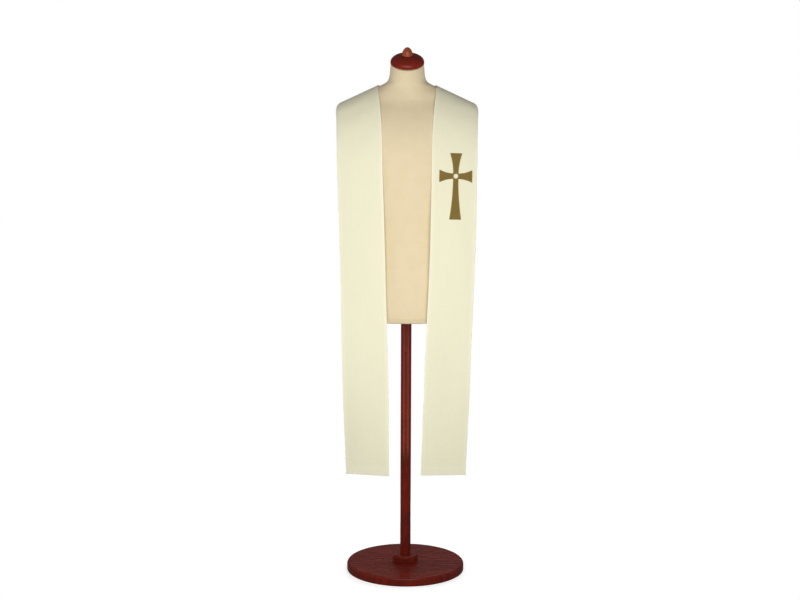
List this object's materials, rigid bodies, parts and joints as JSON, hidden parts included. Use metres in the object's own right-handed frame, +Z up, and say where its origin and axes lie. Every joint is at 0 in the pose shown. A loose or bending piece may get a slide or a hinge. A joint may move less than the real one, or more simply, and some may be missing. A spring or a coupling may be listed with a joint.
{
  "type": "clerical stole on a dress form",
  "caption": "Ivory overlay stole with an embroidered cross, draped round the shoulders of a limbless dress form that stands on a round wooden base.",
  "frame": {"origin": "centre of the round base's underside, on the floor", "axes": "+Z up the pole, -Y towards the front of the wearer, +X towards the wearer's left"},
  "size_m": [0.4332, 0.37, 1.6371],
  "materials": {
    "ivory_cloth": "matt, fine even weave",
    "gold_embroidery": "satin stitch",
    "cream_jersey": "matt jersey knit",
    "mahogany_lacquer": "gloss lacquer"
  },
  "bodies": {
    "root": {"stole_left": "ivory_cloth", "stole_right": "ivory_cloth", "emblem_cross": "gold_embroidery", "form_torso": "cream_jersey", "form_neck_cap": "mahogany_lacquer", "form_finial": "mahogany_lacquer", "stand_pole": "mahogany_lacquer", "stand_foot": "mahogany_lacquer", "stand_base": "mahogany_lacquer"}
  },
  "joints": []
}
